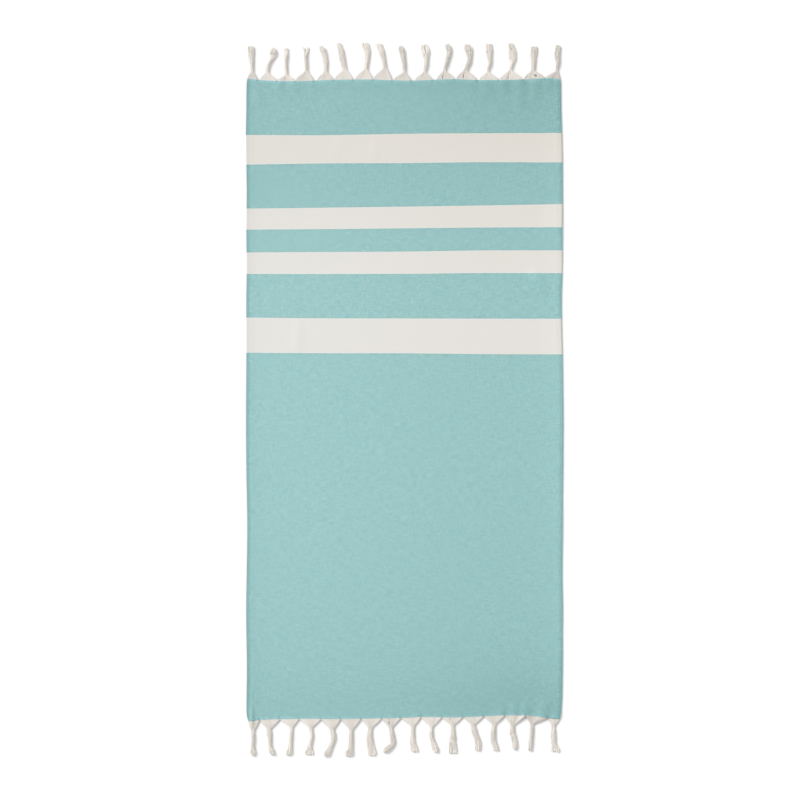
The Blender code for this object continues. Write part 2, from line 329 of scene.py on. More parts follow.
# Each row gives X of the fan's two corners, X of the middle line at four places, the length, and
# the width at four places. After them come the fan's share of the length, the brightness of the
# yarn, and what the tassel's end looks like.
Tassel = namedtuple("Tassel", "left right neck mid bend tip length stem belly flare end "
                    "fan tone style")
STRIPED_TASSELS = metres(Tassel, (
    (-347, -324.5, -338, -338.5, -340, -340.5, 73, 9, 13, 15.5, 17, 0.22, 0.97, "brush"),
    (-318.5, -282, -305, -301.5, -292.5, -290.5, 73, 10, 8.2, 18, 15, 0.235, 1.05, "round"),
    (-280, -241, -262.5, -264, -263, -262, 73, 8, 8, 10.5, 11.5, 0.18, 1.03, "notch"),
    (-239.5, -200, -218, -218.5, -220, -218.5, 74.5, 7.5, 7, 9, 15.2, 0.29, 1, "fork"),
    (-192.5, -156, -175.5, -175, -178, -184.5, 75.5, 10.5, 13.5, 12.5, 13, 0.233, 1, "round"),
    (-153.5, -114, -133, -137, -141, -146, 81.5, 12.5, 14.5, 13.5, 11, 0.262, 1.04, "brush"),
    (-108.5, -69.5, -86.5, -84, -83.5, -88.5, 81.5, 9.5, 12.5, 15.5, 17.5, 0.272, 1.03, "brush"),
    (-67.5, -27.5, -43.5, -46.5, -50.5, -55.5, 80, 9, 10.5, 13, 13.5, 0.325, 1.01, "brush"),
    (-23, 15.5, -1, -2, -5, -8.5, 76.5, 8.5, 10, 13, 13, 0.226, 0.97, "round"),
    (24.5, 62, 44, 47.5, 47, 44, 79.5, 9, 11, 19.5, 19.5, 0.22, 0.98, "loops"),
    (72, 111.5, 88, 93, 98, 94.5, 78.5, 8.5, 10, 12, 13, 0.237, 0.95, "round"),
    (115, 160.5, 134, 142, 143, 138, 78, 10, 11.5, 16.5, 17.5, 0.26, 0.95, "round"),
    (166, 208, 183.5, 188, 186.5, 185.5, 81, 8, 11, 17, 15.5, 0.21, 1.03, "brush"),
    (212.5, 261, 233.5, 238, 237.5, 233, 82, 8.2, 20, 16.5, 12, 0.25, 1.02, "parted"),
    (264.5, 310.5, 283.5, 284.5, 284.5, 286, 72, 10.5, 13, 16, 16, 0.248, 0.93, "brush"),
    (313, 344, 336, 338.5, 337, 338, 74, 8, 12, 14, 12.5, 0.2, 0.9, "brush"),
), others=3)
PLAIN_TASSELS = metres(Tassel, (
    (-345, -320.5, -336.5, -335.5, -337, -336, 76.5, 9, 8.5, 9.2, 14.5, 0.3, 0.98, "round"),
    (-320.5, -275.5, -300.5, -299, -298.5, -292.8, 77.5, 12.5, 10, 9.5, 13.5, 0.248, 1.02, "round"),
    (-275.5, -233.5, -251, -252.5, -254, -257.5, 79.5, 10, 10, 10.5, 15.2, 0.21, 1.03, "round"),
    (-233.5, -185, -208, -206.5, -211, -212, 79.5, 11, 8.5, 12.5, 20.5, 0.215, 1.04, "brush"),
    (-185, -141.5, -161, -157.5, -165.2, -173.8, 82.5, 12.5, 11, 12, 13.5, 0.257, 1.02, "round"),
    (-141, -96, -119, -119, -120, -124.8, 82, 10, 11, 13, 19, 0.28, 1.01, "round"),
    (-95.5, -50.5, -76.5, -77.5, -75.5, -72.5, 82, 12.5, 17, 18.5, 20.5, 0.23, 1.02, "brush"),
    (-50, -8.5, -31.5, -28, -27.2, -43.2, 75.5, 10, 12, 12.5, 12.8, 0.255, 0.97, "round"),
    (-7.5, 36.5, 17, 17, 17.5, 21.5, 75.7, 11, 12, 15.5, 17, 0.23, 1.02, "brush"),
    (37, 82.5, 58.5, 58, 63.5, 68.5, 78, 9, 10, 13, 14.5, 0.262, 1.03, "round"),
    (83, 128.5, 105.5, 106.5, 105.5, 106, 80, 11.5, 15, 19.5, 20.5, 0.19, 0.98, "parted"),
    (130.5, 174.5, 151, 155.5, 162, 161.5, 75, 13.5, 15, 14.5, 14, 0.21, 0.98, "brush"),
    (176, 221, 197, 195.5, 196.5, 202, 77, 11, 12.5, 12, 12.5, 0.228, 0.95, "brush"),
    (222.5, 267, 237.5, 238, 242.5, 243, 75, 12, 15.5, 13, 12, 0.27, 0.99, "round"),
    (269, 316, 281, 280, 278, 276.5, 74.5, 10, 9.5, 9.5, 9, 0.21, 0.9, "brush"),
    (317.5, 343.5, 328, 328.5, 329, 333, 74.2, 11.5, 13.5, 12, 21, 0.2, 1.02, "brush"),
), others=3)
print(len(STRIPED_TASSELS), "tassels at the striped end,", len(PLAIN_TASSELS), "at the plain end")

# %% [markdown]
# ## The woven panel
# A sheet could be a flat grid thickened by a Solidify modifier, but that leaves a square rim.
# Here two grids are shaped, one for each face, and they meet along the rounded edge. The
# columns and rows stand closer together at the hems, at the ends and where the creases are.

# %% Columns and rows
# Distances of the first columns from a side, and of the first rows from an end.
EDGE_STEPS = (0.0, 0.0003, 0.0009, 0.0018, 0.0040, 0.0070, 0.0092, 0.0105, 0.0118, 0.0138,
              0.0164, 0.0195)
END_STEPS = (0.0, 0.0002, 0.0006, 0.0012, 0.0030)
INNER_COLUMNS = 120
Band = namedtuple("Band", "start rows")
BANDS = (
    Band(0.0060, 18),
    Band(0.0750, 92),
    Band(0.7800, 95),
    Band(1.3300, 18),
    Band(CLOTH_LENGTH - 0.0060, 0),
)


def column_places():
    inside = EDGE_STEPS[-1]
    step = (CLOTH_WIDTH - 2 * inside) / INNER_COLUMNS
    inner = [inside + step * i for i in range(1, INNER_COLUMNS)]
    return list(EDGE_STEPS) + inner + [CLOTH_WIDTH - place for place in reversed(EDGE_STEPS)]


def row_places():
    places = list(END_STEPS)
    for band, following in zip(BANDS, BANDS[1:]):
        step = (following.start - band.start) / band.rows
        places += [band.start + step * i for i in range(band.rows)]
    places.append(BANDS[-1].start)
    return places + [CLOTH_LENGTH - place for place in reversed(END_STEPS)]


print(len(column_places()), "columns and", len(row_places()), "rows")

# %% A place on the cloth
def cloth_point(across, along):
    """X, Y and the two heights at a place across the loom and along the warp."""
    nominal_y = PLAIN_END + along
    left = side_at(nominal_y, "left")
    right = side_at(nominal_y, "right")
    x = left + (right - left) * across / CLOTH_WIDTH
    low = end_at(x, "plain")
    high = end_at(x, "striped")
    y = low + (high - low) * along / CLOTH_LENGTH
    side = "left" if across < CLOTH_WIDTH / 2 else "right"
    from_side = min(across, CLOTH_WIDTH - across)
    from_end = min(along, CLOTH_LENGTH - along)
    underside, top = faces_at(x, y, from_side, side, from_end)
    return x, y, underside, top


middle = cloth_point(CLOTH_WIDTH / 2, CLOTH_LENGTH / 2)
print("middle of the cloth:", [round(value, 4) for value in middle])

# %% The mesh of the cloth
WELD_DISTANCE = 0.00001  # the two faces' rims lie closer together than this


def cloth_mesh():
    columns = column_places()
    rows = row_places()
    across_count = len(columns) - 1
    along_count = len(rows) - 1
    bm = bmesh.new()
    weave = bm.loops.layers.uv.new("weave")
    woven = {}
    for on_top in (True, False):
        grid = bmesh.ops.create_grid(bm, x_segments=across_count, y_segments=along_count,
                                     size=0.5)["verts"]
        for vert in grid:
            # the plain grid is one unit wide, so its points are counted from -0.5
            column = round((vert.co.x + 0.5) * across_count)
            row = round((vert.co.y + 0.5) * along_count)
            x, y, underside, top = cloth_point(columns[column], rows[row])
            vert.co = (x, y, top if on_top else underside)
            woven[vert] = (columns[column], woven_at(x, y))
        if not on_top:
            turned = {face for vert in grid for face in vert.link_faces}
            bmesh.ops.reverse_faces(bm, faces=list(turned))
    for face in bm.faces:
        face.smooth = True
        for loop in face.loops:
            loop[weave].uv = woven[loop.vert]
    border = [vert for vert in bm.verts if vert.is_boundary]
    bmesh.ops.remove_doubles(bm, verts=border, dist=WELD_DISTANCE)
    mesh = bpy.data.meshes.new("woven_panel")
    bm.to_mesh(mesh)
    bm.free()
    return mesh


# %% The panel's object
def add_object(name, data, material=None):
    """Puts a mesh, a lamp or a lens in the scene."""
    added = bpy.data.objects.new(name, data)
    bpy.context.scene.collection.objects.link(added)
    if material:
        data.materials.append(material)
    return added


def triangle_count(piece):
    piece.data.calc_loop_triangles()
    return len(piece.data.loop_triangles)


woven_panel = add_object("woven_panel", cloth_mesh())
print("woven panel:", triangle_count(woven_panel), "triangles")

# %% [markdown]
# ## Small helpers for nodes
# A material is a graph of nodes, and so is a Geometry Nodes tree. The first helpers make any node
# with its settings and inputs in one line. A socket knows the tree that it is in, so a node that
# other nodes feed finds its tree by itself. The other helpers do arithmetic and return its
# output, so that a pattern can be written down like a formula.

# %% Making nodes
def feed(term, socket):
    """Links an output to a socket, or sets the socket to a plain value."""
    if isinstance(term, bpy.types.NodeSocket):
        socket.id_data.links.new(term, socket)
    elif isinstance(term, tuple):
        socket.default_value = term[:len(socket.default_value)]
    else:
        socket.default_value = term


def add_node(tree, kind, inputs=None, **settings):
    """A new node, with its settings made and its inputs linked or set."""
    node = tree.nodes.new(kind)
    for name, value in settings.items():
        setattr(node, name, value)
    for socket, term in (inputs or {}).items():
        feed(term, node.inputs[socket])
    return node


def fed_node(kind, inputs, **settings):
    """A node that others feed. It goes in their tree, because a socket knows its own."""
    tree = next(term.id_data for term in inputs.values()
                if isinstance(term, bpy.types.NodeSocket))
    return add_node(tree, kind, inputs, **settings)


def new_tree(name, kind, inputs, outputs):
    """A group of shader or geometry nodes, with named sockets of the given kinds."""
    tree = bpy.data.node_groups.new(name, kind + "NodeTree")
    for direction, sockets in (("INPUT", inputs), ("OUTPUT", outputs)):
        for label, socket_kind in sockets.items():
            tree.interface.new_socket(label, in_out=direction,
                                      socket_type="NodeSocket" + socket_kind)
    given = tree.nodes.new("NodeGroupInput")
    result = tree.nodes.new("NodeGroupOutput")
    return tree, given.outputs, result.inputs


# %% Arithmetic with nodes
def calculate(operation, *terms):
    return fed_node("ShaderNodeMath", dict(enumerate(terms)),
                    operation=operation).outputs[0]


def combined(operation, values):
    """Many values brought down to one, such as their sum or the least of them."""
    total = values[0]
    for value in values[1:]:
        total = calculate(operation, total, value)
    return total


def times(*values):
    return combined("MULTIPLY", values)


def scaled(value, amount, base):
    """A base value plus a share of another."""
    return calculate("MULTIPLY_ADD", value, amount, base)


def graded(value, start, end, low=0.0, high=1.0):
    """Eases from low to high while a value goes from start to end."""
    terms = dict(enumerate((value, start, end, low, high)))
    return fed_node("ShaderNodeMapRange", terms,
                    interpolation_type="SMOOTHSTEP").outputs["Result"]


def channelwise(operation, first, second):
    """Two vectors or colours, worked out channel by channel."""
    return fed_node("ShaderNodeVectorMath", {0: first, 1: second},
                    operation=operation).outputs["Vector"]


def patches(vector, sizes, detail=2.0):
    """Soft random patches of the given sizes, in metres, with values from 0 to 1."""
    place = channelwise("DIVIDE", vector, sizes)
    return fed_node("ShaderNodeTexNoise",
                    {"Scale": 1.0, "Detail": detail, "Vector": place}).outputs["Fac"]


def blend_colors(factor, first, second):
    """The Mix node's colour sockets have no names of their own, only numbers."""
    return fed_node("ShaderNodeMix", {"Factor": factor, 6: first, 7: second},
                    data_type="RGBA").outputs[2]


def separate(vector):
    """The X, Y and Z of a vector."""
    return fed_node("ShaderNodeSeparateXYZ", {0: vector}).outputs


def shade(color, brightness):
    """A colour made lighter or darker by a number."""
    return fed_node("ShaderNodeVectorMath", {0: color, "Scale": brightness},
                    operation="SCALE").outputs["Vector"]


# %% Starting a material
CLOTH_SPECULAR = 0.2
SHEEN_ROUGHNESS = 0.5


def linear(red, green, blue):
    """A colour as a screen shows it, from 0 to 255, as the linear values that nodes use."""
    return tuple(((c / 255 + 0.055) / 1.055) ** 2.4 for c in (red, green, blue)) + (1.0,)


def new_look(name, roughness, sheen):
    """A matt cloth material: the material, its node tree and its shader."""
    material = bpy.data.materials.new(name)
    material.use_nodes = True
    tree = material.node_tree
    shader = tree.nodes["Principled BSDF"]
    finish = {"Roughness": roughness, "Specular IOR Level": CLOTH_SPECULAR,
              "Sheen Weight": sheen, "Sheen Roughness": SHEEN_ROUGHNESS}
    for socket, value in finish.items():
        feed(value, shader.inputs[socket])
    return material, tree, shader


def add_bump(shader, height, distance, strength):
    bump = fed_node("ShaderNodeBump",
                    {"Height": height, "Distance": distance, "Strength": strength})
    feed(bump.outputs["Normal"], shader.inputs["Normal"])


# %% [markdown]
# ## Plain weave
# In a plain weave each warp yarn goes over one weft yarn and under the next, like a
# chessboard. Counting yarns both ways and adding the counts says who is on top: odd is warp, even
# is weft. Each yarn is round, so it is highest along its middle, and it dips where it goes under.
# The group is built once, with the yarn spacing as its inputs.

# %% Group: plain weave
YARN_WANDER = (0.004, 0.018, 1.0)  # size of the patches in which yarns stray together
YARN_DIP = 0.6  # how far a yarn dips beside the one that it crosses
YARN_BLUR = 0.06  # softness of a yarn's edge, as a share of its pitch


def yarn_profile(place, pitch, wander):
    """A yarn's number, the offset from its middle, and its height there, from 0 to 1."""
    count = calculate("ADD", calculate("DIVIDE", place, pitch), wander)
    number = calculate("FLOOR", count)
    offset = calculate("SUBTRACT", calculate("FRACT", count), 0.5)
    return number, offset, scaled(times(offset, offset), -4.0, 1.0)


def crossing(yarn, crossed, on_top):
    """Height of a yarn where it lies on top of another."""
    dipped = scaled(crossed, YARN_DIP, 1 - YARN_DIP)
    return times(yarn, dipped, on_top)


def plain_weave_group():
    tree, given, result = new_tree(
        "plain_weave", "Shader",
        {"Place": "Vector", "Warp Pitch": "Float", "Weft Pitch": "Float", "Warp Share": "Float"},
        {"Warp On Top": "Float", "Height": "Float"})
    place = separate(given["Place"])
    wander = patches(given["Place"], YARN_WANDER)
    warp_number, warp_offset, warp = yarn_profile(place["X"], given["Warp Pitch"], wander)
    weft_number, _, weft = yarn_profile(place["Y"], given["Weft Pitch"], wander)
    both = calculate("ADD", warp_number, weft_number)
    odd = calculate("FLOORED_MODULO", both, 2.0)
    even = calculate("SUBTRACT", 1.0, odd)
    height = calculate("ADD", crossing(warp, weft, odd), crossing(weft, warp, even))
    half_share = times(given["Warp Share"], 0.5)
    inside = calculate("SUBTRACT", half_share, calculate("ABSOLUTE", warp_offset))
    seen = graded(inside, -YARN_BLUR, YARN_BLUR)
    feed(times(seen, odd), result["Warp On Top"])
    feed(height, result["Height"])
    return tree


plain_weave = plain_weave_group()
print("group", plain_weave.name, "has", len(plain_weave.nodes), "nodes")

# %% [markdown]
# ## The colours of the cloth
# The warp is undyed all along. The weft is sea green, and undyed for the length of a stripe, so
# green areas are a mixture of both, like heather, and stripes are plain undyed cotton. A colour
# ramp along the warp could hold the stripe plan, but a ramp is stored in a few hundred steps,
# which would move a border by millimetres. Distances to the borders are exact, and they also
# say where the weft is beaten up more tightly beside a stripe.

# %% Distances in the weave
STRIPES = tuple(zip(BORDERS[::2], BORDERS[1::2]))


def distance_from(value, place):
    return calculate("ABSOLUTE", calculate("SUBTRACT", value, place))


def distance_outside(value, low, high):
    """How far a value is outside a span, and below 0 inside it."""
    offset = distance_from(value, (low + high) / 2)
    return calculate("SUBTRACT", offset, (high - low) / 2)


def stripe_distance(along):
    """How far outside the nearest stripe a place is, and below 0 inside a stripe."""
    return combined("MINIMUM", [distance_outside(along, *span) for span in STRIPES])


print("stripe lengths:", [round(high - low, 4) for low, high in STRIPES])

# %% [markdown]
# ## Painted falloff of the light
# The green is darker towards both ends and towards the right side, and most at the right
# corners: painted shade, where the light falls off. Slow changes like these keep a large plain
# area from looking flat. The tones are brightness at places along the warp. Where the green is
# darker it is also more saturated, so red falls faster than green and blue: one power for each
# channel does that, and gentler powers do the same for the undyed stripes, which only turn a
# little warmer.

# %% Group: painted falloff
Tone = namedtuple("Tone", "woven brightness")
TONES = (
    Tone(0.00, 0.86),
    Tone(0.10, 0.93),
    Tone(0.26, 0.96),
    Tone(0.50, 0.983),
    Tone(0.90, 0.984),
    Tone(1.06, 0.965),
    Tone(1.18, 0.918),
    Tone(1.36, 0.877),
)
RIGHT_LOSS = 0.057  # loss of brightness towards the right side
RIGHT_SPAN = (0.05, 0.60)  # places across between which it sets in
CORNER_LOSS = 0.065  # further loss towards the two right corners
CORNER_SPAN = (0.28, 0.68)
CORNER_REACH = 0.20  # and how far along the warp it reaches
GREEN_POWERS = (1.24, 1.0, 1.0)
UNDYED_POWERS = (0.45, 0.56, 0.78)


def tone_ramp(woven):
    """Brightness along the warp, eased from tone to tone."""
    share = calculate("DIVIDE", woven, CLOTH_LENGTH)
    ramp = fed_node("ShaderNodeValToRGB", {"Fac": share})
    ramp.color_ramp.interpolation = "B_SPLINE"
    stops = ramp.color_ramp.elements
    while len(stops) < len(TONES):
        stops.new(1.0)
    for stop, tone in zip(stops, TONES):
        stop.position = tone.woven / CLOTH_LENGTH
        stop.color = (tone.brightness, tone.brightness, tone.brightness, 1)
    return ramp.outputs["Color"]


def powers_of(value, powers):
    """A tint made of a value's powers."""
    channels = {i: calculate("POWER", value, power) for i, power in enumerate(powers)}
    return fed_node("ShaderNodeCombineXYZ", channels).outputs["Vector"]


# Painted shade: darker towards both ends, the right side and the right corners, where the light
# falls off.
def painted_falloff_group():
    tree, given, result = new_tree(
        "painted_falloff", "Shader", {"Across": "Float", "Along": "Float"},
        {"Green Tint": "Vector", "Undyed Tint": "Vector"})
    inside = distance_outside(given["Along"], 0.0, CLOTH_LENGTH)
    near_end = graded(inside, -CORNER_REACH, 0.0)
    right = graded(given["Across"], *RIGHT_SPAN, 0.0, RIGHT_LOSS)
    corner = graded(given["Across"], *CORNER_SPAN, 0.0, CORNER_LOSS)
    kept = calculate("SUBTRACT", 1.0, scaled(corner, near_end, right))
    brightness = times(tone_ramp(given["Along"]), kept)
    feed(powers_of(brightness, GREEN_POWERS), result["Green Tint"])
    feed(powers_of(brightness, UNDYED_POWERS), result["Undyed Tint"])
    return tree


painted_falloff = painted_falloff_group()
print("group", painted_falloff.name, "has", len(painted_falloff.nodes), "nodes")

# %% [markdown]
# ## The finished cotton
# Threads vary in thickness and in dye, so soft streaks run along the warp and along the weft,
# with flecks between them. They show on the green and hardly on the undyed stripes. At the
# sides the weft turns round and is packed more tightly, and the cloth is darker there. The fold of
# the left hem is painted darker still, as shade. At the ends the last picks cover the warp and look
# brighter, and they are lightened further with a painted highlight against the shade of the
# rounded end. Where two tassels part, a small shadow is painted on the cloth's end. Each of these
# is a mask from 0 to 1, and three short tables say how much the cloth changes where a mask is 1.

# %% Masks in the weave
STRIPE_WOBBLE = 0.0008  # how much a stripe's border wanders
WOBBLE_SIZE = (0.012, 1.0, 1.0)
PICK_BLUR = 0.0005  # softness of a stripe's border
BEAT_UP_REACH = 0.0035  # how far from a stripe's border the weft is beaten up tightly
PACKED_TO = 0.0045  # up to here from a side the weft is packed most tightly
LEFT_BAND = 0.0095  # and from here it is packed as everywhere
RIGHT_BAND = 0.0080
RIGHT_PACKED = 0.5  # the right side is packed half as much
SHADED_RIM_BAND = 0.0024  # the fold of the left hem, painted darker as shade
END_BAND = 0.0090  # length of the last picks
STREAK_SIZES = ((0.0024, 0.0150, 1.0), (0.0180, 0.0028, 1.0), (0.0034, 0.0038, 1.0))
SHADOW_SHIFT = -0.0010  # from a tassel's right corner to the painted shadow beside it
SHADOW_REACH = 0.0024
SHADOW_LENGTH = 0.0080
SHADOW_UNEVENNESS = (0.030, 0.030, 1.0)


def thread_streaks(uv):
    """Streaks and flecks of uneven thread, 0 on average."""
    streaks = [calculate("SUBTRACT", patches(uv, sizes), 0.5) for sizes in STREAK_SIZES]
    return combined("ADD", streaks)


def painted_shadows_at_corners(uv, across, along):
    """Small shadows painted on the cloth's end, beside each tassel's right corner but the last's.
    """
    marks = []
    for tassels, end in ((PLAIN_TASSELS, 0.0), (STRIPED_TASSELS, CLOTH_LENGTH)):
        left = side_at(PLAIN_END + end, "left")
        right = side_at(PLAIN_END + end, "right")
        offsets = []
        for tassel in tassels[:-1]:
            corner = CLOTH_WIDTH * (tassel.right + SHADOW_SHIFT - left) / (right - left)
            offsets.append(distance_from(across, corner))
        beside = graded(combined("MINIMUM", offsets), 0.0, SHADOW_REACH, 1.0, 0.0)
        near_end = graded(distance_from(along, end), 0.0, SHADOW_LENGTH, 1.0, 0.0)
        marks.append(times(beside, near_end))
    return times(combined("MAXIMUM", marks), patches(uv, SHADOW_UNEVENNESS))


def woven_masks(uv, across, along):
    """What differs from place to place in the cloth: masks from 0 to 1."""
    wobble = calculate("SUBTRACT", patches(uv, WOBBLE_SIZE, detail=1.0), 0.5)
    outside = stripe_distance(scaled(wobble, STRIPE_WOBBLE, along))
    left = graded(across, PACKED_TO, LEFT_BAND, 1.0, 0.0)
    right = graded(across, CLOTH_WIDTH - RIGHT_BAND, CLOTH_WIDTH - PACKED_TO, 0.0, RIGHT_PACKED)
    past_end = distance_outside(along, 0.0, CLOTH_LENGTH)
    return {
        "undyed": graded(outside, -PICK_BLUR, PICK_BLUR, 1.0, 0.0),
        "beaten_green": graded(outside, 0.0, BEAT_UP_REACH, 1.0, 0.0),
        "beaten_undyed": graded(outside, -BEAT_UP_REACH, 0.0),
        "packed": calculate("MAXIMUM", left, right),
        # painted shade along the fold of the left hem
        "shaded_rim": graded(across, 0.0, SHADED_RIM_BAND, 1.0, 0.0),
        "last_picks": graded(past_end, -END_BAND, 0.0),
        # painted shadows between the tassels
        "painted_shadows": painted_shadows_at_corners(uv, across, along),
    }


print("hollows between tassels:", len(PLAIN_TASSELS) + len(STRIPED_TASSELS) - 2)

# %% Material: flat-woven cotton
WARP_PITCH = 0.00105
WEFT_PITCH = 0.00097
WARP_SHARE = 0.62  # share of its pitch that a warp yarn covers
GREEN_WEFT = linear(104, 182, 183)
UNDYED = linear(222, 220, 216)
NO_TINT = (1.0, 1.0, 1.0, 1.0)
END_TINT_AND_HIGHLIGHT = (1.10, 1.12, 1.16, 1.0)  # the last picks, where the warp shows least, and partly a painted highlight against the shade of the rounded end
STREAK_CONTRAST = 0.35
UNDYED_STREAK_SHARE = 0.10
WEAVE_RELIEF = 0.0002
# Changes where a mask is 1: of the warp that shows, and of the brightness.
WARP_CHANGES = {"packed": -0.25, "beaten_green": -0.10}
GREEN_CHANGES = {"packed": -0.13, "shaded_rim": -0.16, "beaten_green": -0.03, "painted_shadows": -1.0}
UNDYED_CHANGES = {"packed": -0.07, "beaten_undyed": 0.02}


def cloth_brightness(streaks, contrast, masks, changes):
    """Brightness of one kind of area: its streaks, and a change for each of its masks."""
    factors = [scaled(masks[name], change, 1.0) for name, change in changes.items()]
    return times(scaled(streaks, contrast, 1.0), *factors)


def cloth_look():
    material, tree, shader = new_look("flat_woven_cotton", roughness=0.95, sheen=0.1)
    uv = add_node(tree, "ShaderNodeUVMap", uv_map="weave").outputs["UV"]
    place = separate(uv)
    weave = fed_node("ShaderNodeGroup", {
        "Place": uv, "Warp Pitch": WARP_PITCH, "Weft Pitch": WEFT_PITCH,
        "Warp Share": WARP_SHARE}, node_tree=plain_weave).outputs
    # the painted shade of the light's falloff, as tints for the green and the undyed stripes
    falloff = fed_node("ShaderNodeGroup", {"Across": place["X"], "Along": place["Y"]},
                   node_tree=painted_falloff).outputs
    masks = woven_masks(uv, place["X"], place["Y"])
    streaks = thread_streaks(uv)

    # green areas: green weft under undyed warp
    warp_cut = 1.0
    for name, change in WARP_CHANGES.items():
        warp_cut = scaled(masks[name], change, warp_cut)
    warp_seen = times(weave["Warp On Top"], warp_cut)
    brightness = cloth_brightness(streaks, STREAK_CONTRAST, masks, GREEN_CHANGES)
    green = shade(blend_colors(warp_seen, GREEN_WEFT, UNDYED), brightness)
    green = channelwise("MULTIPLY", green, falloff["Green Tint"])
    # the last picks' tint, partly a painted highlight
    end_tint_and_highlight = blend_colors(masks["last_picks"], NO_TINT, END_TINT_AND_HIGHLIGHT)
    green = channelwise("MULTIPLY", green, end_tint_and_highlight)

    # stripes: undyed weft and warp
    contrast = STREAK_CONTRAST * UNDYED_STREAK_SHARE
    brightness = cloth_brightness(streaks, contrast, masks, UNDYED_CHANGES)
    plain = shade(UNDYED, brightness)
    plain = channelwise("MULTIPLY", plain, falloff["Undyed Tint"])

    feed(blend_colors(masks["undyed"], green, plain), shader.inputs["Base Color"])
    add_bump(shader, weave["Height"], distance=WEAVE_RELIEF, strength=0.35)
    return material


flat_woven_cotton = cloth_look()
woven_panel.data.materials.append(flat_woven_cotton)
print("material", flat_woven_cotton.name, "has", len(flat_woven_cotton.node_tree.nodes), "nodes")

# %% [markdown]
# ## One tassel's yarns
# A yarn starts at its own place in the cloth's end, and eases from there to its place in the
# cord as the fan closes. Inside the cord the places follow the golden angle, as seeds do in a
# sunflower, which packs round things evenly. A shallow groove divides them into two halves, and
# the whole section turns as it goes on, so the halves wind around each other. Near the end the
# yarns spread, draw together, part in two, or bulge and close again, as the tassel's style says.

# %% Layout of a cord's section
CORD_YARNS = 30
GOLDEN_ANGLE = math.pi * (3 - math.sqrt(5))
GROOVE_DEPTH = 0.28  # share of the height lost at the groove


def cord_layout():
    """Places of the yarns in a section one unit in radius, from left to right."""
    places = []
    for i in range(CORD_YARNS):
        radius = math.sqrt((i + 0.5) / CORD_YARNS)
        across = radius * math.cos(i * GOLDEN_ANGLE)
        above = radius * math.sin(i * GOLDEN_ANGLE)
        places.append((across, above * (1 - GROOVE_DEPTH * (1 - abs(across)) ** 3)))
    return sorted(places)


print("leftmost of", CORD_YARNS, "yarns:", [round(value, 3) for value in cord_layout()[0]])

# %% How a section changes along a tassel
LOOSE_FROM = 0.76  # share of the length at which the end starts to come loose
NECK_SHARE = 0.84  # width of the neck, as a share of the stem's
CORD_HEIGHT = 0.0074
NECK_HEIGHT = 0.0054  # a cord is flatter where the fan runs into it
HEIGHT_GAIN = 0.20  # share of the length over which it rises to its full height
FLAT_FROM = 0.0090  # a cord wider than this is flatter as well
PARTED_DROP = 0.35  # share of its height that an end loses where it parts in two
LAST_WIDTHS = {"round": 0.55, "loops": 0.62}  # shares of the end's width
Section = namedtuple("Section", "width height gap")
# How the halves of a cord part: the widest gap, where it starts or, for loops, is widest,
# the share of the length that it takes, and its rise. The gap is a share of the width.
Parting = namedtuple("Parting", "gap start reach rise")
PARTINGS = {
    "fork": Parting(0.38, LOOSE_FROM, END_AT - LOOSE_FROM, ease),
    "notch": Parting(0.22, 0.86, 0.10, ease),
    "loops": Parting(0.12, 0.85, 0.16, swell),
}
PARTED = Parting(0.0016, 0.40, 0.20, ease)  # and here it is in metres


def opened(parting, along):
    return parting.gap * parting.rise((along - parting.start) / parting.reach)


def gap_at(tassel, along, width):
    """How far the two halves of a cord stand apart."""
    if tassel.style in PARTINGS:
        return width * opened(PARTINGS[tassel.style], along)
    if tassel.style == "parted":
        return opened(PARTED, along)
    return 0.0


def section_at(tassel, along):
    """Width and height of a tassel's section, and the gap between its halves."""
    last = tassel.end * LAST_WIDTHS.get(tassel.style, 1.0)
    neck = NECK_SHARE * tassel.stem
    path = ((0.0, neck), (NECK_AT, neck), (STEM_AT, tassel.stem), (BELLY_AT, tassel.belly),
            (FLARE_AT, tassel.flare), (END_AT, tassel.end), (1.0, last))
    width = smooth_value(path, 1, along)
    height = NECK_HEIGHT + (CORD_HEIGHT - NECK_HEIGHT) * ease((along - NECK_AT) / HEIGHT_GAIN)
    if tassel.style != "round" or along < FLARE_AT:
        height *= min(math.sqrt(FLAT_FROM / width), 1.0)
    if tassel.style in PARTINGS:
        height *= 1 - PARTED_DROP * ease((along - LOOSE_FROM) / (END_AT - LOOSE_FROM))
    return Section(width, height, gap_at(tassel, along, width))


def middle_at(tassel, along):
    """X of a tassel's middle line at a share of its length."""
    path = ((0.0, tassel.neck), (NECK_AT, tassel.neck), (MID_AT, tassel.mid),
            (BEND_AT, tassel.bend), (TIP_AT, tassel.tip), (1.0, tassel.tip))
    return smooth_value(path, 1, along)


print("widest end:", max(tassel.end for tassel in STRIPED_TASSELS + PLAIN_TASSELS) * 1000, "mm")

# %% Holes in the fans
# Where two yarns of a fan have been pushed apart, the floor shows through.
Hole = namedtuple("Hole", "x y width length")
HOLES = metres(Hole, (
    (83.8, 715.6, 2.6, 6),
    (130.7, 717, 2.6, 6),
    (177.8, 714.6, 1.8, 5),
    (228.5, 714.6, 2.4, 6),
    (245.1, 717, 2, 4),
    (289.5, 718.4, 6.4, 4.4),
    (327.6, 715.6, 1.6, 4),
    (-33.4, -712.3, 2.6, 5.6),
    (101.5, -705, 2.2, 4),
))
PUSH_REACH = 2.6  # how far a hole pushes yarns, as a multiple of its width


def pushed_aside(x, y):
    """X of a yarn after the holes near it have pushed it."""
    for hole in HOLES:
        distance = x - hole.x
        push = swell((y - hole.y) / hole.length) * swell(distance / (PUSH_REACH * hole.width))
        x += math.copysign(hole.width / 2, distance) * push
    return x


print(len(HOLES), "holes, the widest", max(hole.width for hole in HOLES) * 1000, "mm")

